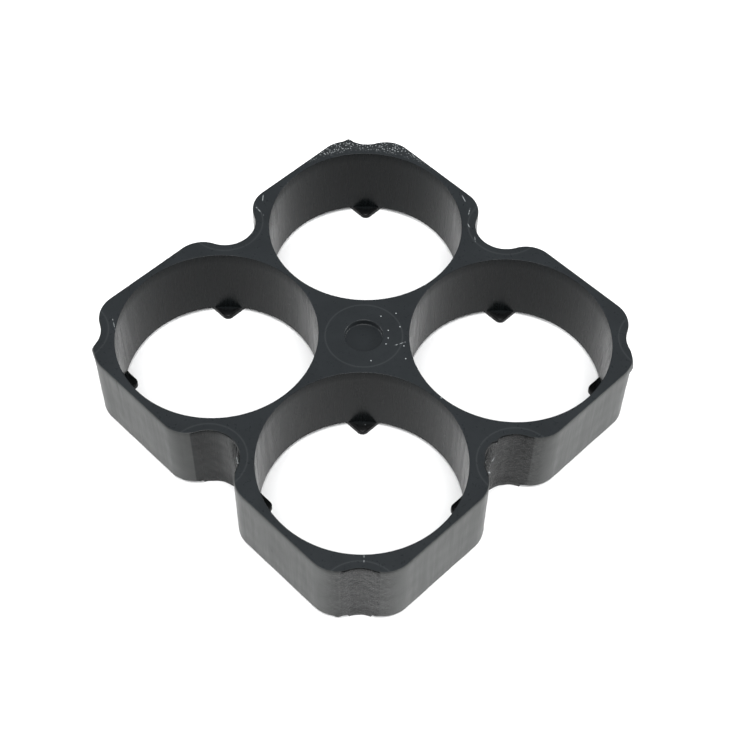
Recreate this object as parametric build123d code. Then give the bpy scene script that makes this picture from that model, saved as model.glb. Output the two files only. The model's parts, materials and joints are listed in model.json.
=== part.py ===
from build123d import *
import os
from math import hypot, sqrt

# Battery cell holder bracket: one moulded plastic spacer that holds round cells side by side in a square.
# Frame: millimetres, +Z up, origin at the centre of the flat underside, the cells' rows along X and Y.

# Driving dimensions
cellDiameter = 32.4      # the standard round cell that each bore takes
cellClearance = 0.3      # gap all round between a cell and its bore
cellGrid = (2, 2)        # cells along X and along Y
webThickness = 0.8       # thinnest plastic between two neighbouring bores
outerWall = 1.25         # thinnest plastic between a bore and an outer flat
wallHeight = 14.0        # the walls round the bores, from their lower edges to the flat top face
notchRadius = 5.0        # round notches in the outside, one on every outer grid node
shoulderRadius = 5.0     # convex rounds that lead from each flat into a notch
padThickness = 0.9       # square pads under the walls, one on every grid node, with room for strips between them
padSetback = 3.0         # from an outer flat in to the pads behind it
stopReach = 2.1          # from a bore's wall to the tip of a pad's corner, which is a cell's end stop
stopTipRadius = 1.1
recessRadius = 3.15      # shallow round recess where four cells' corners meet, on the top face
recessDepth = 1.0
edgeBreak = 0.2          # small chamfer round the outside of the top face

# Sizes that follow from them
boreRadius = cellDiameter / 2 + cellClearance
cellPitch = 2 * boreRadius + webThickness
cellsAlongX, cellsAlongY = cellGrid
outlineX = cellPitch * (cellsAlongX - 1) + 2 * (boreRadius + outerWall)
outlineY = cellPitch * (cellsAlongY - 1) + 2 * (boreRadius + outerWall)
nodeToTip = cellPitch / sqrt(2) - boreRadius + stopReach
padWidth = 2 * ((nodeToTip - stopTipRadius) / sqrt(2) + stopTipRadius)
overallHeight = padThickness + wallHeight


def gridPlaces(countX, countY):
    """A grid of places one cell pitch apart, centred on the origin."""
    return [
        (cellPitch * (column - (countX - 1) / 2), cellPitch * (row - (countY - 1) / 2))
        for column in range(countX)
        for row in range(countY)
    ]


boreCentres = gridPlaces(cellsAlongX, cellsAlongY)
gridNodes = gridPlaces(cellsAlongX + 1, cellsAlongY + 1)      # where the cells' square plots have their corners
innerNodes = gridPlaces(cellsAlongX - 1, cellsAlongY - 1)     # those of them with a cell on all four sides


def notches():
    """The notch circles, one on each grid node that lies outside the cells or between them and the edge."""
    return [
        Pos(x, y) * Circle(notchRadius)
        for x, y in gridNodes
        if all(hypot(x - innerX, y - innerY) > notchRadius for innerX, innerY in innerNodes)
    ]


def outline():
    """The outside from above: a rectangle, notched where cell corners meet its edge, with rounded shoulders."""
    shape = Rectangle(outlineX, outlineY) - notches()
    return fillet(shape.vertices(), shoulderRadius)


def padOutline(x, y):
    """One pad from above: a square on its grid node, kept in from the outer flats and cut by the notches."""
    square = Pos(x, y) * RectangleRounded(padWidth, padWidth, stopTipRadius)
    behindFlats = Rectangle(outlineX - 2 * padSetback, outlineY - 2 * padSetback)
    return (square & behindFlats) - notches()


def walls():
    """The outline raised to the walls' height, with its upper edge broken and the bores cut right through."""
    body = extrude(outline(), wallHeight)
    body = chamfer(body.faces().sort_by(Axis.Z)[-1].edges(), edgeBreak)
    for x, y in boreCentres:
        body -= Pos(x, y, wallHeight / 2) * Cylinder(boreRadius, wallHeight)
    return body


def bracket():
    """The walls on their pads, with a recess in the top face at each inner node."""
    body = Pos(0, 0, padThickness) * walls()
    body += [extrude(padOutline(x, y), padThickness) for x, y in gridNodes]
    for x, y in innerNodes:
        body -= Pos(x, y, overallHeight - recessDepth / 2) * Cylinder(recessRadius, recessDepth)
    return body


os.makedirs("parts", exist_ok=True)
cellBracket = bracket()
cellBracket.label = "cell_bracket"
export_step(cellBracket, "parts/cell_bracket.step")
print("cell_bracket volume", round(cellBracket.volume, 1), "mm3")
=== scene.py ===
import json
import math
import bmesh
import bpy
import numpy as np
from mathutils import Matrix, Vector


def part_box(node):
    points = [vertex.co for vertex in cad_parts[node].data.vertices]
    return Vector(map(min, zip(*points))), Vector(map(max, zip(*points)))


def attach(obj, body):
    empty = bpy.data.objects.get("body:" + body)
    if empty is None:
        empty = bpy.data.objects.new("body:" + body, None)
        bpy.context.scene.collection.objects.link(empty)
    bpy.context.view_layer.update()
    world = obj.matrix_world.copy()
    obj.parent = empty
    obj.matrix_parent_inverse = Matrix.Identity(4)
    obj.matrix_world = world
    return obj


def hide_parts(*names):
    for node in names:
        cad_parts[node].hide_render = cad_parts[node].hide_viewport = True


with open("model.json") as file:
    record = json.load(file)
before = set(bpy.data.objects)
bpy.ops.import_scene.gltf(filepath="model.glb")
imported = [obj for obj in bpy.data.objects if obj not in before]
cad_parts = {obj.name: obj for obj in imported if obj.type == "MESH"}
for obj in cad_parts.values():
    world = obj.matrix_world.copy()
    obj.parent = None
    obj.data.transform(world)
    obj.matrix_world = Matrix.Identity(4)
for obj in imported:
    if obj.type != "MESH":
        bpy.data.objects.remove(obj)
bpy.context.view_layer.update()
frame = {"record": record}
mm = 0.001

# The moulding is one closed skin. Its forms are in millimetres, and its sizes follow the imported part.
moulding = {
    "node": "cell_bracket",
    "notchRadius": 5.0,
    "shoulderRadius": 5.0,
    "padSetback": 3.0,
    "stopReach": 2.1,
    "stopTipRadius": 1.1,
    "recessRadius": 3.15,
    "recessDepth": 1.0,
    "outerEdge": 0.2,       # rounds on the edges
    "boreEdge": 0.07,
    "stopEdge": 0.22,
    "recessEdge": 0.15,
    "fineStep": 0.6,        # degrees between sections, at the pads and on wide runs
    "plainStep": 1.0,
    "wideRun": 30,          # degrees
    "boreRings": 8,         # points up a bore's wall, down the outside and across the top face
    "outerRings": 20,
    "topRings": 11,
    "stopFade": 0.5,        # mm past the bore's wall over which the round on a stop's edge comes in
    "weldReach": 0.0005,    # points closer than this are one
    "thinEdge": 0.0002,
    "sharpAngle": 35,       # degrees
}


# Height, bore radius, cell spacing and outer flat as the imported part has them, and the pads' flanks
# from those.
def sizesFromFrame():
    low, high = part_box(moulding["node"])
    bores = [mount for mount in frame["record"]["mounts"] if mount["kind"] == "bore"]
    height = (high[2] - low[2]) / mm
    half = abs(bores[0]["pos_m"][0]) / mm
    radius = bores[0]["dims"]["r_mm"]
    tip = moulding["stopTipRadius"]
    nodeToTip = half * math.sqrt(2) - radius + moulding["stopReach"]
    flat = high[0] / mm - half
    return {
        "height": height,
        "foot": height - bores[0]["dims"]["length_mm"],
        "boreRadius": radius,
        "half": half,
        "flat": flat,
        "flank": half - (nodeToTip - tip) / math.sqrt(2) - tip,
        "padLimit": flat - moulding["padSetback"],
    }


size = sizesFromFrame()
print("frame read:", {name: round(value, 3) for name, value in size.items()})


# Where rays from the origin meet a circle: the distance along each ray to its near or far crossing.
def rayToCircle(direction, centre, radius, far):
    along = direction @ centre
    root = np.sqrt(np.maximum(along ** 2 - centre @ centre + radius ** 2, 0.0))
    return along + root if far else along - root


# The outside of one cell seen from its bore's axis, for rays from the outward diagonal round to the
# plane shared with its neighbour: notch arc, shoulder round, flat, shoulder round, notch arc.
def outsideCurve(angle):
    half, flat = size["half"], size["flat"]
    notch, shoulder = moulding["notchRadius"], moulding["shoulderRadius"]
    rise = half - (flat - shoulder)
    reach = math.sqrt((notch + shoulder) ** 2 - rise ** 2)
    cornerNode, sideNode = np.array([half, half]), np.array([-half, half])
    nearCorner = np.array([half - reach, flat - shoulder])
    nearSide = np.array([reach - half, flat - shoulder])
    share = shoulder / (notch + shoulder)
    turns = [nearCorner + (cornerNode - nearCorner) * share, np.array([nearCorner[0], flat]),
             np.array([nearSide[0], flat]), nearSide + (sideNode - nearSide) * share]
    turnAngles = [math.atan2(point[1], point[0]) for point in turns]
    direction = np.stack([np.cos(angle), np.sin(angle)], -1)
    spans = [angle < limit for limit in turnAngles]
    reachOut = np.select(spans, [rayToCircle(direction, cornerNode, notch, False),
                                 rayToCircle(direction, nearCorner, shoulder, True),
                                 flat / np.maximum(direction[:, 1], 1e-6),
                                 rayToCircle(direction, nearSide, shoulder, True)],
                         rayToCircle(direction, sideNode, notch, False))
    point = direction * reachOut[:, None]
    spans = [span[:, None] for span in spans]
    normal = np.select(spans, [(cornerNode - point) / notch, (point - nearCorner) / shoulder,
                               np.array([[0.0, 1.0]]) + 0 * point, (point - nearSide) / shoulder],
                       (sideNode - point) / notch)
    return point, normal


# Where rays from the bore's axis come in under a pad and go out again: in across the nearer flank or
# the rounded corner on the diagonal, out at the pad's limit behind the flat or at the cell's own edge.
def padCurves(angle, edgeRadius):
    flank, tip = size["flank"], moulding["stopTipRadius"]
    direction = np.stack([np.cos(angle), np.sin(angle)], -1)
    plain = np.abs(direction)
    offDiagonal = np.abs(np.arctan2(plain[:, 1], plain[:, 0]) - math.pi / 4)
    roundCentre = np.array([flank + tip, flank + tip])
    byFlank = flank / np.maximum(plain.min(axis=1), 1e-6)
    onRound = offDiagonal < math.atan2(flank + tip, flank) - math.pi / 4
    inward = np.where(onRound, rayToCircle(plain, roundCentre, tip, False), byFlank)
    limit = np.where(direction[:, 1] > 0.3, size["padLimit"] / np.maximum(direction[:, 1], 0.3), np.inf)
    outward = np.minimum(limit, edgeRadius)
    # which way the pad's inner wall faces, for the round on the stops' upper edges
    point = plain * inward[:, None]
    acrossX = (plain[:, 0] < plain[:, 1])[:, None]
    facing = np.where(acrossX, np.array([[-1.0, 0.0]]), np.array([[0.0, -1.0]]))
    facing = np.where(onRound[:, None], (point - roundCentre) / tip, facing) * np.sign(direction)
    return inward, outward, facing, inward <= outward + 1e-6


# The angles of the sections round one cell, measured from its outward diagonal. Each place where a
# form begins or ends has a section of its own, and the sections lie closer together at the pads.
def sectionAngles():
    half, flank, limit, radius = size["half"], size["flank"], size["padLimit"], size["boreRadius"]
    notch, tip = moulding["notchRadius"], moulding["stopTipRadius"]
    padEnd = math.degrees(math.atan2(limit, flank)) - 45
    crossing = half - math.sqrt(notch ** 2 - (half - limit) ** 2)
    notchCross = math.degrees(math.atan2(limit, crossing)) - 45
    roundEnd = math.degrees(math.atan2(flank + tip, flank)) - 45
    boreCross = math.degrees(math.acos(flank / radius)) - 45
    junction = math.degrees(math.atan2(half - notch, -half)) - 45
    sharedEnd = math.degrees(math.atan2(flank, -half)) - 45
    rim = moulding["recessRadius"] + moulding["recessEdge"]
    recessStart = math.degrees(math.atan2(half - rim, half)) + 135
    marks = [0, roundEnd, notchCross, boreCross, padEnd, 90 - padEnd, 90 - boreCross, 90 - notchCross,
             90 - roundEnd, 90, 90 + roundEnd, 90 + boreCross, junction, sharedEnd, 270 - sharedEnd,
             180 - boreCross, recessStart, 180 - roundEnd, 180]
    runs = []
    for start, end in zip(marks[:-1], marks[1:]):
        step = moulding["plainStep" if end - start > moulding["wideRun"] else "fineStep"]
        runs.append(np.linspace(start, end, max(1, round((end - start) / step)) + 1)[:-1])
    halfTurn = np.concatenate(runs + [[180.0]])
    return np.concatenate([-halfTurn[:0:-1], halfTurn[:-1]]), junction, recessStart


# Points with their two plan coordinates swapped where flip is true, which mirrors them in the
# cell's diagonal.
def mirrored(points, flip):
    return np.where(flip[:, None], points[:, ::-1], points)


# The closed curves round one cell, all with one point for each section.
def planCurves():
    turn, junction, recessStart = sectionAngles()
    half, flip, away = size["half"], turn < 0, np.abs(turn)
    upper = np.radians(45 + away)
    direction = np.stack([np.cos(upper), np.sin(upper)], -1)
    outside = away <= junction + 1e-9
    curves = {"turn": turn, "outside": outside, "recess": away >= recessStart - 1e-9}
    point, normal = outsideCurve(upper)
    # past the last notch the edge is the plane shared with the neighbour, followed to the bracket's middle
    shared = np.stack([np.full(len(turn), -half), -half * np.tan(upper)], -1)
    edge = np.where(outside[:, None], point, shared)
    edgeRadius = np.hypot(edge[:, 0], edge[:, 1])
    inward, outward, facing, hasPad = padCurves(upper, edgeRadius)
    # where there is no pad, the underside's rings meet on a curve that runs from one pad's end to the next
    radius, flank, limit = size["boreRadius"], size["flank"], size["padLimit"]
    endRadius = math.hypot(flank, limit)
    endShare = (endRadius - radius) / (size["flat"] * endRadius / limit - radius)
    meeting = radius + np.where(outside, endShare, 1.0) * (edgeRadius - radius)
    inward, outward = np.where(hasPad, inward, meeting), np.where(hasPad, outward, meeting)
    curves["edge"], curves["edgeNormal"] = mirrored(edge, flip), mirrored(normal, flip)
    curves["padIn"] = mirrored(direction * inward[:, None], flip)
    curves["padOut"] = mirrored(direction * outward[:, None], flip)
    curves["padFacing"] = mirrored(facing, flip)
    curves["hasPad"] = hasPad
    curves["atStop"] = np.clip((radius - inward) / moulding["stopFade"], 0, 1) * hasPad
    middle = np.array([-half, -half])
    rim = moulding["recessRadius"] + moulding["recessEdge"]
    curves["rim"] = mirrored(direction * rayToCircle(direction, middle, rim, False)[:, None], flip)
    curves["middle"] = middle
    angle = np.radians(45 + turn)
    curves["round"] = np.stack([np.cos(angle), np.sin(angle)], -1)
    return curves


# A ring of points from its plan and its height.
def ring(plan, z):
    return np.column_stack([plan, np.broadcast_to(z, len(plan))])


quarterTurn = np.radians([0, 30, 60, 90])  # the lines across an edge round


# From the walls' lower outer edge in over the underside, down, across and up each pad, on to the bore,
# up its wall and out over the top face. A flat is a straight blend between two curves, and an edge
# round a quarter circle. With each row of quads goes the kind of section that it needs: any, outside,
# pad, or both.
def insideRings(curves):
    height, foot, radius = size["height"], size["foot"], size["boreRadius"]
    edge, boreEdge, stopEdge = moulding["outerEdge"], moulding["boreEdge"], moulding["stopEdge"]
    outside, recess = curves["outside"][:, None], curves["recess"][:, None]
    outer, padOut, padIn = curves["edge"], curves["padOut"], curves["padIn"]
    low = np.where(curves["hasPad"], 0.0, foot)
    rings = [ring(outer * (1 - s) + padOut * s, foot) for s in (0.0, 0.5, 1.0)]
    kinds = ["outside", "outside"]
    rings.append(ring(padOut, low))
    kinds.append("both")
    rings += [ring(padOut * (1 - s) + padIn * s, low) for s in (0.33, 0.67, 1.0)]
    kinds += ["pad"] * 3
    for angle in quarterTurn:
        into = stopEdge * (1 - math.cos(angle)) * curves["atStop"]
        down = stopEdge * (1 - math.sin(angle)) * curves["atStop"]
        rings.append(ring(padIn - curves["padFacing"] * into[:, None], foot - down))
        kinds.append("pad")
    ledge, wall = rings[-1][:, :2], curves["round"] * radius
    rings += [ring(ledge * (1 - s) + wall * s, foot) for s in (0.5, 1.0)]
    rings += [ring(wall, z) for z in np.linspace(foot, height - boreEdge, moulding["boreRings"])[1:-1]]
    rings += [ring(curves["round"] * (radius + boreEdge * (1 - math.cos(angle))),
                   height - boreEdge * (1 - math.sin(angle))) for angle in quarterTurn]
    mouth = rings[-1][:, :2]
    inset = outer - curves["edgeNormal"] * edge
    topEdge = np.where(outside, inset, np.where(recess, curves["rim"], outer))
    shares = np.concatenate([[0.03], np.linspace(0, 1, moulding["topRings"])[1:-1], [0.97, 1.0]])
    rings += [ring(mouth * (1 - s) + topEdge * s, height) for s in shares]
    kinds += ["any"] * (len(rings) - 1 - len(kinds))
    return np.array(rings), kinds


# Over the outer edge of the top face and down the outside to the walls' lower edge.
def outsideRings(curves):
    height, edge, foot = size["height"], moulding["outerEdge"], size["foot"]
    here = curves["outside"]
    point, normal = curves["edge"][here], curves["edgeNormal"][here]
    rings = [ring(point - normal * edge * (1 - math.sin(angle)), height - edge * (1 - math.cos(angle)))
             for angle in quarterTurn]
    rings += [ring(point, z) for z in np.linspace(height - edge, foot, moulding["outerRings"])[1:]]
    return np.array(rings)


# The recess's rim, wall and floor, turned about the bracket's middle and closed at a pole.
def recessRings(curves):
    height, edge, radius = size["height"], moulding["recessEdge"], moulding["recessRadius"]
    floor = height - moulding["recessDepth"]
    here = curves["recess"]
    away = (curves["rim"][here] - curves["middle"]) / (radius + edge)
    radii = [radius + edge * (1 - math.sin(angle)) for angle in quarterTurn]
    heights = [height - edge * (1 - math.cos(angle)) for angle in quarterTurn]
    radii += [radius - edge * (1 - math.cos(angle)) for angle in quarterTurn]
    heights += [floor + edge * (1 - math.sin(angle)) for angle in quarterTurn]
    radii += [radius * 0.9, radius * 0.6, radius * 0.3, 0.0]
    heights += [floor] * 4
    return np.array([ring(curves["middle"] + away * r, z) for r, z in zip(radii, heights)])


# Quads between neighbouring rings, as corner numbers, row by row.
def gridFaces(rows, columns, closed):
    across = columns if closed else columns - 1
    row, column = np.meshgrid(np.arange(rows - 1), np.arange(across), indexing="ij")
    after = (column + 1) % columns
    return np.stack([row * columns + column, row * columns + after,
                     (row + 1) * columns + after, (row + 1) * columns + column], -1)


# Small faults of the moulding: each nub moves the points near it by a bell curve, and waves tear edges and
# make the outside and undersides uneven.
faults = {
    # where each is, how far it moves the points there, and how wide it is, all in millimetres
    "nubs": [
        ((-33.1, 28.6, 14.8), (-0.4, 0.35, 0.12), 0.8),
        ((-28.6, -33.2, 14.4), (-0.3, -0.35, -0.1), 1.1),
        ((34.3, 27.9, 13.9), (0.75, -0.2, -0.35), 1.2),
        ((28.3, -33.0, 0.4), (0.35, -0.4, -0.2), 0.6),
        ((-29.2, 33.4, 14.8), (0.1, -0.4, -0.12), 0.7),
        ((27.9, -1.6, 12.5), (0.4, 0.1, 0.0), 0.6),
        ((28.1, 1.3, 9.0), (0.45, 0.0, 0.0), 0.5),
        ((28.2, -0.4, 5.0), (0.3, 0.1, 0.0), 0.6),
        ((0.9, -28.9, 7.0), (0.2, -0.4, 0.0), 0.5),
        ((31.9, 4.6, 0.5), (0.3, 0.0, -0.2), 0.5),
        ((-4.9, -31.9, 0.6), (0.0, -0.3, -0.25), 0.5),
        ((31.9, -28.6, 0.7), (0.1, -0.2, -0.25), 0.5),
        ((28.8, 0.6, 14.7), (0.35, 0.0, -0.1), 0.5),
        ((30.0, -3.2, 14.7), (0.3, 0.2, -0.1), 0.6),
    ],
    "bellShare": 0.6,       # the bell curve's width as a share of a nub's
    "wander": 0.03,         # how far the outside faces wander from true, and over what length
    "wanderWave": 7.0,
    "clear": 0.6,           # how far past the bores' walls that starts, and how far below the top it fades
    "topClear": 0.05,
    "torn": 0.2,            # how uneven the pads' undersides and three notch walls are
    "tornShare": 0.45,      # the notch walls' share of it
    "tornWave": 1.9,
    "tornCore": 1.4,        # how fully it shows at a notch's middle
    "tornNotches": [(1, -1, 5.5), (1, 0, 6.0), (0, -1, 5.0)],   # grid steps in x and y, and reach
    "underWave": 2.3,
    "underClear": 0.8,      # how far past the bores' walls the undersides' unevenness starts
    "underLift": 0.6,
}


# A smooth uneven value for each point: waves of several lengths, added up.
def uneven(points, wave):
    x, y, z = (points * (2 * math.pi / wave)).T
    return (np.sin(x + 1.7 * np.sin(0.6 * y + 1.1)) + np.sin(1.3 * y + 1.9 * np.sin(0.8 * z + 0.4))
            + np.sin(1.7 * z + 1.3 * np.sin(1.1 * x + 2.0))) / 3


# The points moved by the faults. Apart from the nubs, the bores and the top face stay true: the outside
# wanders a little, three notch walls are torn, and the pads' undersides are lifted unevenly except
# under the stops.
def faulty(points):
    half, height, radius = size["half"], size["height"], size["boreRadius"]
    moved = points.copy()
    for centre, move, reach in faults["nubs"]:
        away = np.sum((points - centre) ** 2, axis=1)
        moved += np.exp(-away / (2 * (reach * faults["bellShare"]) ** 2))[:, None] * np.array(move)
    axis = np.where(points[:, :2] < 0, -half, half)
    out = points[:, :2] - axis
    fromAxis = np.hypot(out[:, 0], out[:, 1])
    clear = faults["clear"]
    outer = np.clip((fromAxis - radius - clear) / clear, 0, 1)
    outer *= np.clip((height - faults["topClear"] - points[:, 2]) / clear, 0, 1)
    level = faults["wander"] * uneven(points, faults["wanderWave"]) * outer
    for stepX, stepY, reach in faults["tornNotches"]:
        fromNode = np.hypot(points[:, 0] - 2 * half * stepX, points[:, 1] - 2 * half * stepY)
        near = np.clip(faults["tornCore"] - fromNode / reach, 0, 1)
        level += faults["torn"] * faults["tornShare"] * near * outer * uneven(points, faults["tornWave"])
    moved[:, :2] += out / np.maximum(fromAxis, 1e-6)[:, None] * level[:, None]
    under = (points[:, 2] < size["foot"] * 0.4) & (fromAxis > radius + faults["underClear"])
    rise = faults["underLift"]
    lift = faults["torn"] * (rise + rise * uneven(points, faults["underWave"]))
    moved[:, 2] += np.where(under, lift, 0.0)
    moved[:, 2] = np.clip(moved[:, 2], 0.0, height + 0.3)
    return moved


# One cell's surfaces, mirrored into all four cells and welded into one closed skin.
def skinMesh():
    curves = planCurves()
    inside, kinds = insideRings(curves)
    outside, recess = outsideRings(curves), recessRings(curves)
    # the recess's sections run across the start of the loop, so they are put back in order there
    late = len(recess[0]) - int(np.sum(curves["recess"] & (curves["turn"] < 0)))
    recess = np.concatenate([recess[:, -late:], recess[:, :-late]], axis=1)
    pad, out = curves["hasPad"], curves["outside"]
    pairs = {"any": np.ones(len(pad), bool), "pad": pad & np.roll(pad, -1),
             "outside": out & np.roll(out, -1)}
    pairs["both"] = pairs["pad"] & pairs["outside"]
    insideFaces = gridFaces(len(inside), len(pad), True)[np.array([pairs[kind] for kind in kinds])]
    points, quads, start = [], [], 0
    for grid, faces in ((inside, insideFaces), (outside, gridFaces(*outside.shape[:2], False)),
                        (recess, gridFaces(*recess.shape[:2], False))):
        points.append(grid.reshape(-1, 3))
        quads.append(faces.reshape(-1, 4) + start)
        start += grid.shape[0] * grid.shape[1]
    points, quads = np.concatenate(points) + [size["half"], size["half"], 0], np.concatenate(quads)
    everyPoint, everyQuad = [], []
    for number, (sideX, sideY) in enumerate(((1, 1), (-1, 1), (-1, -1), (1, -1))):
        everyPoint.append(points * [sideX, sideY, 1])
        everyQuad.append((quads if sideX * sideY > 0 else quads[:, ::-1]) + number * len(points))
    mesh = bpy.data.meshes.new("bracket_skin")
    mesh.from_pydata((np.concatenate(everyPoint) * mm).tolist(), [], np.concatenate(everyQuad).tolist())
    weld = bmesh.new()
    weld.from_mesh(mesh)
    bmesh.ops.remove_doubles(weld, verts=weld.verts, dist=moulding["weldReach"] * mm)
    bmesh.ops.dissolve_degenerate(weld, edges=weld.edges, dist=moulding["thinEdge"] * mm)
    loose = [vert for vert in weld.verts if not vert.link_faces]
    bmesh.ops.delete(weld, geom=loose, context="VERTS")
    bmesh.ops.recalc_face_normals(weld, faces=weld.faces)
    openEdges = sum(not edge.is_manifold for edge in weld.edges)
    volume = weld.calc_volume() / mm ** 3
    weld.to_mesh(mesh)
    weld.free()
    print("skin:", len(mesh.vertices), "points,", len(mesh.polygons), "faces, open edges", openEdges,
          "volume", round(volume, 1), "cubic mm")
    return mesh


# Which finish each point has: an attribute each for the bores' walls, the stops, the outside walls and
# those in the notches, 1 on them and 0 elsewhere. It is taken from the shape before its faults.
def finishMarks(mesh, trueShape):
    half, radius, height, foot = size["half"], size["boreRadius"], size["height"], size["foot"]
    out = trueShape[:, :2] - np.where(trueShape[:, :2] < 0, -half, half)
    fromAxis = np.hypot(out[:, 0], out[:, 1])
    level = trueShape[:, 2]
    marks = {
        "boreWall": (np.abs(fromAxis - radius) < 0.02) & (level < height - 0.02) & (level > foot - 0.02),
        "stopFace": fromAxis < radius - 0.05,
        "outsideWall": (fromAxis > radius + 0.9) & (level < height - 0.02) & (level > 0.02),
    }
    node = np.abs(np.round(trueShape[:, :2] / (2 * half)) * 2 * half - trueShape[:, :2])
    atNotch = np.hypot(node[:, 0], node[:, 1]) < moulding["notchRadius"] + 0.3
    marks["notchWall"] = marks["outsideWall"] & atNotch
    inRecess = np.hypot(trueShape[:, 0], trueShape[:, 1]) < moulding["recessRadius"] + 0.2
    marks["outsideWall"] &= ~inRecess
    marks["notchWall"] &= ~inRecess
    for name, mark in marks.items():
        layer = mesh.attributes.new(name, "FLOAT", "POINT")
        layer.data.foreach_set("value", mark.astype(np.float32))


mesh = skinMesh()
flatPoints = np.empty(len(mesh.vertices) * 3)
mesh.vertices.foreach_get("co", flatPoints)
truePoints = flatPoints.reshape(-1, 3) / mm
finishMarks(mesh, truePoints)
mesh.vertices.foreach_set("co", (faulty(truePoints) * mm).ravel())
mesh.shade_smooth()
mesh.set_sharp_from_angle(angle=math.radians(moulding["sharpAngle"]))
skin = bpy.data.objects.new("bracket_skin", mesh)
bpy.context.scene.collection.objects.link(skin)
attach(skin, "root")
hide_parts(moulding["node"])
print("faults and finish marks set")


# A node with its settings and inputs. An input is a socket to link or a plain value.
def addNode(tree, kind, inputs=(), **settings):
    node = tree.nodes.new(kind)
    for name, value in settings.items():
        setattr(node, name, value)
    for key, value in dict(inputs).items():
        if isinstance(value, bpy.types.NodeSocket):
            tree.links.new(value, node.inputs[key])
        else:
            node.inputs[key].default_value = value
    return node


# One sum on numbers, such as MULTIPLY, and its result.
def sumOf(tree, operation, first, second=0.0, clamp=False):
    settings = {"operation": operation, "use_clamp": clamp}
    return addNode(tree, "ShaderNodeMath", {0: first, 1: second}, **settings).outputs[0]


# Two masks times a strength.
def strengthOf(tree, first, second, strength):
    return sumOf(tree, "MULTIPLY", sumOf(tree, "MULTIPLY", first, second), strength)


# One sum on vectors, and its vector result or, for a distance or a dot product, its number.
def vectorOf(tree, operation, first, second=(0.0, 0.0, 0.0)):
    node = addNode(tree, "ShaderNodeVectorMath", {0: first, 1: second}, operation=operation)
    return node.outputs["Value" if operation in ("DISTANCE", "DOT_PRODUCT") else "Vector"]


# A vector made longer or shorter.
def scaledOf(tree, first, scale):
    inputs = {0: first, "Scale": scale}
    return addNode(tree, "ShaderNodeVectorMath", inputs, operation="SCALE").outputs["Vector"]


# A number that goes from 0 at one value to 1 at the other, smoothly.
def rampOf(tree, value, low, high):
    inputs = {"Value": value, "From Min": low, "From Max": high, "To Min": 0.0, "To Max": 1.0}
    return addNode(tree, "ShaderNodeMapRange", inputs, interpolation_type="SMOOTHSTEP").outputs["Result"]


# A mix of two colours or numbers by a factor.
def mixOf(tree, kind, factor, first, second):
    node = addNode(tree, "ShaderNodeMix", {"Factor": factor}, data_type=kind)
    keys = {"FLOAT": (2, 3), "RGBA": (6, 7)}[kind]
    for key, value in zip(keys, (first, second)):
        if isinstance(value, bpy.types.NodeSocket):
            tree.links.new(value, node.inputs[key])
        else:
            node.inputs[key].default_value = value
    return node.outputs[{"FLOAT": 0, "RGBA": 2}[kind]]


# An empty node group with named inputs and outputs.
def newGroup(name, inputs, outputs):
    group = bpy.data.node_groups.new(name, "ShaderNodeTree")
    for label, kind in inputs.items():
        group.interface.new_socket(label, in_out="INPUT", socket_type=kind)
    for label, kind in outputs.items():
        group.interface.new_socket(label, in_out="OUTPUT", socket_type=kind)
    given, result = group.nodes.new("NodeGroupInput"), group.nodes.new("NodeGroupOutput")
    return group, given.outputs, result.inputs


number, vector = "NodeSocketFloat", "NodeSocketVector"


# A round mark about a point: 1 inside its radius, fading to 0 over its softness.
def spotGroup():
    group, given, result = newGroup("spot_mark", {"Place": vector, "Centre": vector, "Radius": number,
                                                  "Softness": number}, {"Mask": number})
    away = vectorOf(group, "DISTANCE", given["Place"], given["Centre"])
    edge = sumOf(group, "ADD", given["Radius"], given["Softness"])
    group.links.new(rampOf(group, away, edge, given["Radius"]), result["Mask"])
    return group


# A thin ring about a point: 1 on its radius, 0 a width away.
def ringGroup():
    group, given, result = newGroup("ring_mark", {"Place": vector, "Centre": vector, "Radius": number,
                                                  "Width": number}, {"Mask": number})
    away = vectorOf(group, "DISTANCE", given["Place"], given["Centre"])
    off = sumOf(group, "ABSOLUTE", sumOf(group, "SUBTRACT", away, given["Radius"]))
    group.links.new(rampOf(group, off, given["Width"], 0.0), result["Mask"])
    return group


# A straight scratch: 1 on the line from start to finish, 0 a width away.
def scratchGroup():
    group, given, result = newGroup("scratch_mark", {"Place": vector, "Start": vector, "Finish": vector,
                                                     "Width": number}, {"Mask": number})
    line = vectorOf(group, "SUBTRACT", given["Finish"], given["Start"])
    reach = vectorOf(group, "SUBTRACT", given["Place"], given["Start"])
    along = vectorOf(group, "DOT_PRODUCT", reach, line)
    length = vectorOf(group, "DOT_PRODUCT", line, line)
    share = sumOf(group, "DIVIDE", along, length, clamp=True)
    foot = scaledOf(group, line, share)
    off = vectorOf(group, "DISTANCE", reach, foot)
    group.links.new(rampOf(group, off, given["Width"], 0.0), result["Mask"])
    return group


# How the two grain effects are made up. Ramps are pairs: where each is 0 and where it is 1.
pattern = {
    "grainDetail": 4.0,
    "grainRoughness": 0.65,
    "cellShare": 2.7,           # how much finer the grains are than the noise under them
    "grainRound": (0.45, 0.1),
    "grainChosen": (0.9, 1.0),
    "grainHeight": 0.4,
    "dragStretch": (1.0, 1.0, 0.06),
    "dragDetail": 5.0,
    "dragRoughness": 0.7,
    "dragLevel": (0.32, 0.68),
}
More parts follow.
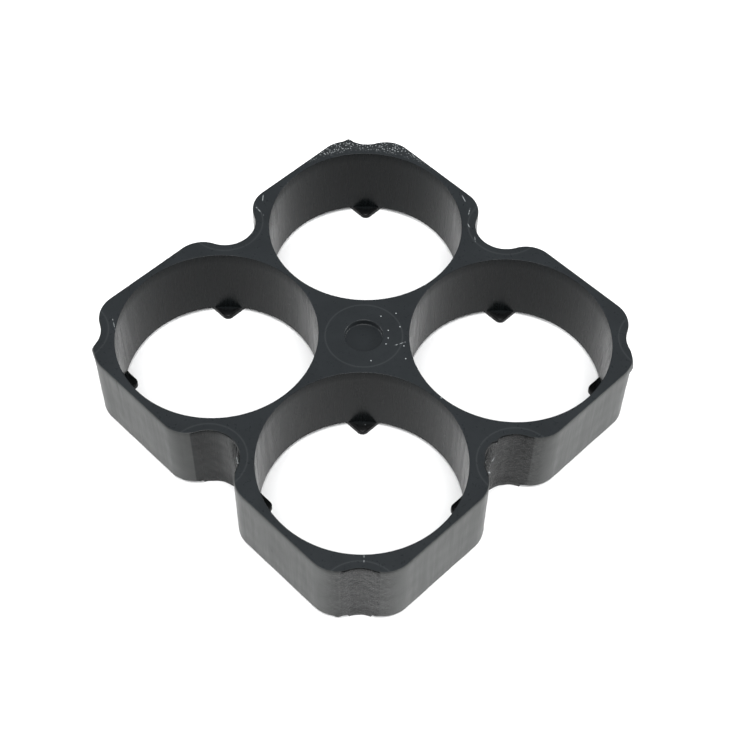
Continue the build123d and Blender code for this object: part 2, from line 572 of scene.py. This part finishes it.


# Fine unevenness: a height from two sizes of noise, and a mask of scattered grains where pale colour is
# painted as highlights.
def grainGroup():
    group, given, result = newGroup("moulded_grain", {"Place": vector, "Scale": number, "Grains": number},
                                    {"Height": number, "Grains": number})
    noise = {"Vector": given["Place"], "Scale": given["Scale"], "Detail": pattern["grainDetail"],
             "Roughness": pattern["grainRoughness"]}
    coarse = addNode(group, "ShaderNodeTexNoise", noise).outputs["Fac"]
    tighter = sumOf(group, "MULTIPLY", given["Scale"], pattern["cellShare"])
    cells = addNode(group, "ShaderNodeTexVoronoi", {"Vector": given["Place"], "Scale": tighter})
    shade = addNode(group, "ShaderNodeSeparateColor", {0: cells.outputs["Color"]}).outputs[0]
    small = rampOf(group, cells.outputs["Distance"], *pattern["grainRound"])
    chosen = rampOf(group, sumOf(group, "ADD", shade, given["Grains"]), *pattern["grainChosen"])
    grains = sumOf(group, "MULTIPLY", small, chosen)
    group.links.new(grains, result["Grains"])
    raised = sumOf(group, "MULTIPLY", grains, pattern["grainHeight"])
    group.links.new(sumOf(group, "ADD", coarse, raised), result["Height"])
    return group


# Upright drag marks that a mould leaves as it opens: noise drawn out along the height.
def dragGroup():
    group, given, result = newGroup("drag_marks", {"Place": vector, "Scale": number}, {"Level": number})
    drawn = vectorOf(group, "MULTIPLY", given["Place"], pattern["dragStretch"])
    noise = {"Vector": drawn, "Scale": given["Scale"], "Detail": pattern["dragDetail"],
             "Roughness": pattern["dragRoughness"]}
    level = addNode(group, "ShaderNodeTexNoise", noise).outputs["Fac"]
    group.links.new(rampOf(group, level, *pattern["dragLevel"]), result["Level"])
    return group


effects = {"spot": spotGroup(), "ring": ringGroup(), "scratch": scratchGroup(), "grain": grainGroup(),
           "drag": dragGroup()}
print("effect groups:", len(effects))


# An effect placed in a material with its own values.
def useEffect(tree, name, inputs):
    return addNode(tree, "ShaderNodeGroup", inputs, node_tree=effects[name]).outputs


finish = {
    "topColor": (0.0140, 0.0160, 0.0176, 1),
    "outsideColor": (0.040, 0.042, 0.041, 1),
    # painted shade: the notch walls are the same plastic as the flats, made near black because the hollows
    # get little light
    "notchColor": (0.0010, 0.0020, 0.0022, 1),
    # painted shade: the bores' walls are made darker than the outside because they lie inside the holes
    "boreColor": (0.0030, 0.0042, 0.0046, 1),
    # painted shade: the stops' upper faces, deep at the foot of the bores, are made nearly black
    "stopColor": (0.0015, 0.0018, 0.0020, 1),
    # pale colour for the flecks and scratches, and for the painted highlights
    "paleColor": (0.50, 0.53, 0.54, 1),
    "topRoughness": 0.32,
    "outsideRoughness": 0.42,
    "boreRoughness": 0.27,
    "refraction": 1.26,

    # the scale of each pattern, and how many grains show
    "dragScale": 1.1,
    "fineDragScale": 3.4,
    "grainScale": 1.3,
    "grainGrains": 0.03,
    "fineScale": 2.2,
    "patchScale": 0.16,
    "coarseScale": 1.4,
    "coarseGrains": 0.5,
    "pitScale": 1.15,
    "pitGrains": 0.75,

    # where the rough places lie: radius and softness in millimetres
    "cornerSpot": (5.0, 3.0),
    "notchSpot": (5.0, 2.5),
    "farSpot": (7.0, 12.0),
    "farInset": 0.97,           # how far out towards the far corner its middle is
    "farBand": (0.3, 1.6),      # distances past the bore where the pitted band starts and is full
    "farWall": 0.6,             # how much of it shows on the outside wall

    # how strongly each thing changes the colour
    "streakShade": 0.3,
    "patchShade": 0.5,
    "plainShade": 0.75,
    "granularShade": -1.5,
    "granularBase": 1.45,
    "gougeShade": 0.85,
    "sparkleLift": 0.55,
    "glintLift": 0.025,
    "ringLift": 0.02,
    "tearLift": 0.8,
    "scratchLift": 0.6,
    "scratchBreaks": (0.42, 0.6),
    "dragGloss": 0.12,
    "pitGloss": 0.2,

    # the relief, as heights of one bump
    "fineRelief": 0.05,
    "dragRelief": 0.06,
    "grainRelief": 0.25,
    "coarseRelief": 1.7,
    "pitRelief": 3.0,
    "bumpStrength": 0.6,
    "bumpDistance": 0.0001,

    # marks on the top face: faint rings painted as highlights, pale flecks and scratches
    "ringRadius": 6.3,
    "ringWidth": 0.2,
    "flecks": [(3.1, 2.5), (-0.9, 4.8), (0.4, 7.0), (2.8, 5.5), (4.4, -2.7), (6.0, 3.2), (8.0, 1.6),
               (6.0, -5.4), (8.3, -3.6), (2.0, 3.6), (3.7, 1.4), (17.3, 0.2), (-0.5, 14.7)],
    "fleckRadius": 0.13,
    "fleckLength": 0.02,
    "scratches": [((-9.9, 33.6), (-8.6, 33.0)), ((-6.9, 32.4), (-6.1, 31.2)),
                  ((-4.8, 29.6), (-3.9, 29.2)), ((-1.9, 28.3), (-1.1, 27.6)),
                  ((-32.7, 6.0), (-30.5, 5.7)), ((-34.0, 8.8), (-32.9, 7.6)),
                  ((29.0, -28.3), (29.8, -29.1)), ((-30.9, -27.2), (-29.0, -28.2)),
                  ((4.8, 2.0), (5.6, 3.9))],
    "scratchWidth": 0.09,

    # marks on the walls: painted highlights on torn edges in two notches, dark scratches and pits on one
    # flat and a bore
    "tears": [((1.1, -28.9, 10.8), (1.7, -29.1, 8.2)), ((0.5, -28.8, 5.4), (1.1, -28.9, 4.5)),
              ((28.7, 0.8, 10.0), (28.8, 0.3, 9.2)), ((28.8, -0.2, 6.4), (28.7, 0.2, 5.6))],
    "tearWidth": 0.22,
    "gouges": [((-20.8, -34.7, 14.8), (-20.6, -34.7, 12.4)),
               ((-18.6, -34.7, 11.2), (-18.4, -34.7, 10.6)),
               ((15.2, -34.7, 6.6), (15.4, -34.7, 6.4)),
               ((-12.3, -34.7, 6.1), (-12.2, -34.7, 6.0)),
               ((-16.2, -34.7, 4.2), (-16.1, -34.7, 4.0)),
               ((11.5, -1.5, 9.5), (11.6, -1.6, 9.0))],
    "gougeWidth": 0.2,
}


# The strongest of a list of straight marks.
def marksOf(tree, place, lines, width):
    total = None
    for start, end in lines:
        line = {"Place": place, "Start": start, "Finish": end, "Width": width}
        mask = useEffect(tree, "scratch", line)["Mask"]
        total = mask if total is None else sumOf(tree, "MAXIMUM", total, mask)
    return total


# A rough place about a point in plan.
def spotOf(tree, plan, x, y, spot):
    radius, softness = spot
    return useEffect(tree, "spot", {"Place": plan, "Centre": (x, y, 0.0), "Radius": radius,
                                    "Softness": softness})["Mask"]


# The black moulding plastic: bluish and smooth on top, dragged in the bores, scuffed and granular
# outside, with pits along the far corner, a faint ring about every grid node, pale flecks and scratches.
# Painted shade makes the notch walls, the bores' walls and the stops darker, and painted highlights
# lie on the rings, on torn edges in two notches and on the grains of the pitted and granular places.
def plasticMaterial():
    material = bpy.data.materials.new("moulded_plastic")
    material.use_nodes = True
    tree = material.node_tree
    shader = tree.nodes["Principled BSDF"]
    shader.inputs["IOR"].default_value = finish["refraction"]
    metres = addNode(tree, "ShaderNodeTexCoord").outputs["Object"]
    place = scaledOf(tree, metres, 1 / mm)
    plan = vectorOf(tree, "MULTIPLY", place, (1.0, 1.0, 0.0))
    outside, notch, bore, stop = (addNode(tree, "ShaderNodeAttribute", attribute_name=name).outputs["Fac"]
                                  for name in ("outsideWall", "notchWall", "boreWall", "stopFace"))
    wall = sumOf(tree, "MAXIMUM", outside, sumOf(tree, "MAXIMUM", bore, stop))
    top = sumOf(tree, "SUBTRACT", 1.0, wall, clamp=True)
    half = size["half"]
    span = 2 * half

    drag = useEffect(tree, "drag", {"Place": place, "Scale": finish["dragScale"]})["Level"]
    fineDrag = useEffect(tree, "drag", {"Place": place, "Scale": finish["fineDragScale"]})["Level"]
    grain = useEffect(tree, "grain", {"Place": place, "Scale": finish["grainScale"],
                                      "Grains": finish["grainGrains"]})
    fine = addNode(tree, "ShaderNodeTexNoise", {"Vector": place, "Scale": finish["fineScale"],
                                                "Detail": 2.0}).outputs["Fac"]
    patches = addNode(tree, "ShaderNodeTexNoise", {"Vector": place, "Scale": finish["patchScale"],
                                                   "Detail": 3.0}).outputs["Fac"]

    # where the corner nearest the eye and the notch to its right are granular
    rough = spotOf(tree, plan, span, -span, finish["cornerSpot"])
    torn = spotOf(tree, plan, span, 0.0, finish["notchSpot"])
    granular = sumOf(tree, "MULTIPLY", sumOf(tree, "MAXIMUM", rough, torn), outside)
    coarse = useEffect(tree, "grain", {"Place": place, "Scale": finish["coarseScale"],
                                       "Grains": finish["coarseGrains"]})

    # the pitted band along the top face's outer edge at the far corner
    inset = finish["farInset"]
    fromCorner = spotOf(tree, plan, -span * inset, span * inset, finish["farSpot"])
    fromBore = vectorOf(tree, "DISTANCE", plan, (-half, half, 0.0))
    band = rampOf(tree, fromBore, *(size["boreRadius"] + past for past in finish["farBand"]))
    farShare = sumOf(tree, "MULTIPLY", fromCorner, band)
    onWall = sumOf(tree, "MULTIPLY", outside, finish["farWall"])
    pitted = sumOf(tree, "MULTIPLY", farShare, sumOf(tree, "MAXIMUM", top, onWall))
    pits = useEffect(tree, "grain", {"Place": place, "Scale": finish["pitScale"],
                                     "Grains": finish["pitGrains"]})

    # a faint ring about every grid node, on the top face only: a painted highlight where a slight step
    # catches the light
    rings = None
    for x in (-span, 0.0, span):
        for y in (-span, 0.0, span):
            circle = {"Place": plan, "Centre": (x, y, 0.0), "Radius": finish["ringRadius"],
                      "Width": finish["ringWidth"]}
            mask = useEffect(tree, "ring", circle)["Mask"]
            rings = mask if rings is None else sumOf(tree, "MAXIMUM", rings, mask)
    rings = sumOf(tree, "MULTIPLY", rings, top)

    # pale flecks and scratches on the top face, painted highlights on torn edges in two notches, and gouged
    # marks on the walls
    flat = [((*start, 0.0), (*end, 0.0)) for start, end in finish["scratches"]]
    flecks = [((x, y, 0.0), (x + finish["fleckLength"], y, 0.0)) for x, y in finish["flecks"]]
    fleck = marksOf(tree, plan, flecks, finish["fleckRadius"])
    scratched = marksOf(tree, plan, flat, finish["scratchWidth"])
    scratched = sumOf(tree, "MULTIPLY", scratched, rampOf(tree, fine, *finish["scratchBreaks"]))
    scratched = sumOf(tree, "MULTIPLY", scratched, finish["scratchLift"])
    marks = sumOf(tree, "MULTIPLY", sumOf(tree, "MAXIMUM", fleck, scratched), top)
    tears = sumOf(tree, "MULTIPLY", marksOf(tree, place, finish["tears"], finish["tearWidth"]), outside)
    gouges = marksOf(tree, place, finish["gouges"], finish["gougeWidth"])

    color = mixOf(tree, "RGBA", outside, finish["topColor"], finish["outsideColor"])
    # painted shade: darker colour on the notch walls
    color = mixOf(tree, "RGBA", notch, color, finish["notchColor"])
    # painted shade: darker colour on the bores' walls
    color = mixOf(tree, "RGBA", bore, color, finish["boreColor"])
    # painted shade: near-black colour on the stops
    color = mixOf(tree, "RGBA", stop, color, finish["stopColor"])
    dragged = sumOf(tree, "SUBTRACT", drag, 0.5)
    streaks = sumOf(tree, "MULTIPLY", dragged, sumOf(tree, "MULTIPLY", wall, finish["streakShade"]))
    shade = sumOf(tree, "ADD", sumOf(tree, "MULTIPLY", patches, finish["patchShade"]), finish["plainShade"])
    shade = sumOf(tree, "ADD", shade, streaks)
    mottle = sumOf(tree, "MULTIPLY", coarse["Height"], finish["granularShade"])
    mottle = sumOf(tree, "ADD", mottle, finish["granularBase"])
    shade = mixOf(tree, "FLOAT", granular, shade, mottle)
    unmarked = sumOf(tree, "SUBTRACT", 1.0, sumOf(tree, "MULTIPLY", gouges, finish["gougeShade"]))
    color = scaledOf(tree, color, sumOf(tree, "MULTIPLY", shade, unmarked))
    # painted highlights: pale colour on the grains of the pitted band and of the granular walls
    sparkle = strengthOf(tree, pits["Grains"], pitted, finish["sparkleLift"])
    glints = strengthOf(tree, coarse["Grains"], granular, finish["glintLift"])
    lift = sumOf(tree, "MAXIMUM", marks, sumOf(tree, "MAXIMUM", sparkle, glints))
    # painted highlight: the pale rings
    lift = sumOf(tree, "MAXIMUM", lift, sumOf(tree, "MULTIPLY", rings, finish["ringLift"]))
    # painted highlight: pale colour on the torn notch edges
    lift = sumOf(tree, "MAXIMUM", lift, sumOf(tree, "MULTIPLY", tears, finish["tearLift"]))
    # the pale colour: real flecks and scratches together with the painted highlights
    color = mixOf(tree, "RGBA", lift, color, finish["paleColor"])
    tree.links.new(color, shader.inputs["Base Color"])

    roughness = mixOf(tree, "FLOAT", outside, finish["topRoughness"], finish["outsideRoughness"])
    inner = sumOf(tree, "MAXIMUM", bore, notch)
    roughness = mixOf(tree, "FLOAT", inner, roughness, finish["boreRoughness"])
    dragged = sumOf(tree, "SUBTRACT", drag, 0.5)
    roughness = sumOf(tree, "ADD", roughness, sumOf(tree, "MULTIPLY", dragged, finish["dragGloss"]))
    dulled = sumOf(tree, "MULTIPLY", pitted, finish["pitGloss"])
    roughness = sumOf(tree, "ADD", roughness, dulled, clamp=True)
    tree.links.new(roughness, shader.inputs["Roughness"])

    # the relief: hardly any on top, faint drag marks on the walls, strong where granular or pitted
    height = sumOf(tree, "MULTIPLY", fine, finish["fineRelief"])
    reliefs = [(fineDrag, wall, "dragRelief"), (grain["Height"], outside, "grainRelief"),
               (coarse["Height"], granular, "coarseRelief"), (pits["Height"], pitted, "pitRelief")]
    for level, where, strength in reliefs:
        height = sumOf(tree, "ADD", height, strengthOf(tree, level, where, finish[strength]))
    bump = addNode(tree, "ShaderNodeBump", {"Height": height, "Strength": finish["bumpStrength"],
                                            "Distance": finish["bumpDistance"]})
    tree.links.new(bump.outputs["Normal"], shader.inputs["Normal"])
    return material


skin.data.materials.append(plasticMaterial())
print("material built")

# A plain pale floor, soft daylight all round, an overhead soft box and one at each side.
studio = {
    "floorSize": 3.0,
    "floorColor": (0.92, 0.92, 0.92),
    "floorRoughness": 0.9,
    "worldColor": (0.95, 0.98, 1.0),
    "worldStrength": 0.32,
    "boxes": [
        {"name": "overhead", "place": (0.2, -0.2, 0.87), "width": 0.6, "power": 11.0},
        {"name": "left_box", "place": (-0.75, -0.62, 0.33), "width": 0.5, "power": 10.5},
        {"name": "right_box", "place": (0.62, 0.75, 0.33), "width": 0.5, "power": 13.0},
    ],
}


def buildStudio():
    bpy.ops.mesh.primitive_plane_add(size=studio["floorSize"])
    floor = bpy.context.object
    floor.name = "floor"
    material = bpy.data.materials.new("floor_paper")
    material.use_nodes = True
    shader = material.node_tree.nodes["Principled BSDF"]
    shader.inputs["Base Color"].default_value = (*studio["floorColor"], 1)
    shader.inputs["Roughness"].default_value = studio["floorRoughness"]
    floor.data.materials.append(material)
    world = bpy.data.worlds.new("studio")
    bpy.context.scene.world = world
    world.use_nodes = True
    background = world.node_tree.nodes["Background"]
    background.inputs["Color"].default_value = (*studio["worldColor"], 1)
    background.inputs["Strength"].default_value = studio["worldStrength"]
    for box in studio["boxes"]:
        light = bpy.data.lights.new(box["name"], "AREA")
        light.shape = "SQUARE"
        light.size = box["width"]
        light.energy = box["power"]
        lamp = bpy.data.objects.new(box["name"], light)
        bpy.context.scene.collection.objects.link(lamp)
        lamp.location = box["place"]
        lamp.rotation_euler = (-Vector(box["place"])).to_track_quat("-Z", "Y").to_euler()


buildStudio()
print("studio built")

# The camera looks down at the bracket across one corner, turned a little about its own line of sight.
viewpoint = {
    "azimuth": 44.388,      # degrees
    "elevation": 54.502,
    "roll": 1.279,
    "distance": 0.26611,    # metres
    "aimRight": 0.001997,
    "aimUp": 0.001711,
    "lens": 75.21,          # millimetres
    "sensor": 36,
}


def placeCamera():
    angles = (viewpoint[name] for name in ("azimuth", "elevation", "roll"))
    azimuth, elevation, roll = (math.radians(angle) for angle in angles)
    back = Vector((math.sin(azimuth) * math.cos(elevation), -math.cos(azimuth) * math.cos(elevation),
                   math.sin(elevation)))
    level = Vector((math.cos(azimuth), math.sin(azimuth), 0))
    upright = back.cross(level)
    right = level * math.cos(roll) + upright * math.sin(roll)
    up = upright * math.cos(roll) - level * math.sin(roll)
    # it aims near the middle of the walls' lower edges, which stand on the pads
    aim = Vector((0, 0, size["foot"] * mm)) + right * viewpoint["aimRight"] + up * viewpoint["aimUp"]
    place = aim + back * viewpoint["distance"]
    data = bpy.data.cameras.new("camera")
    data.lens = viewpoint["lens"]
    data.sensor_width = viewpoint["sensor"]
    data.clip_start = 0.01
    camera = bpy.data.objects.new("camera", data)
    bpy.context.scene.collection.objects.link(camera)
    camera.matrix_world = Matrix((
        (right.x, up.x, back.x, place.x),
        (right.y, up.y, back.y, place.y),
        (right.z, up.z, back.z, place.z),
        (0, 0, 0, 1),
    ))
    bpy.context.scene.camera = camera


placeCamera()
bpy.context.scene.view_settings.view_transform = "Standard"
print("camera placed")
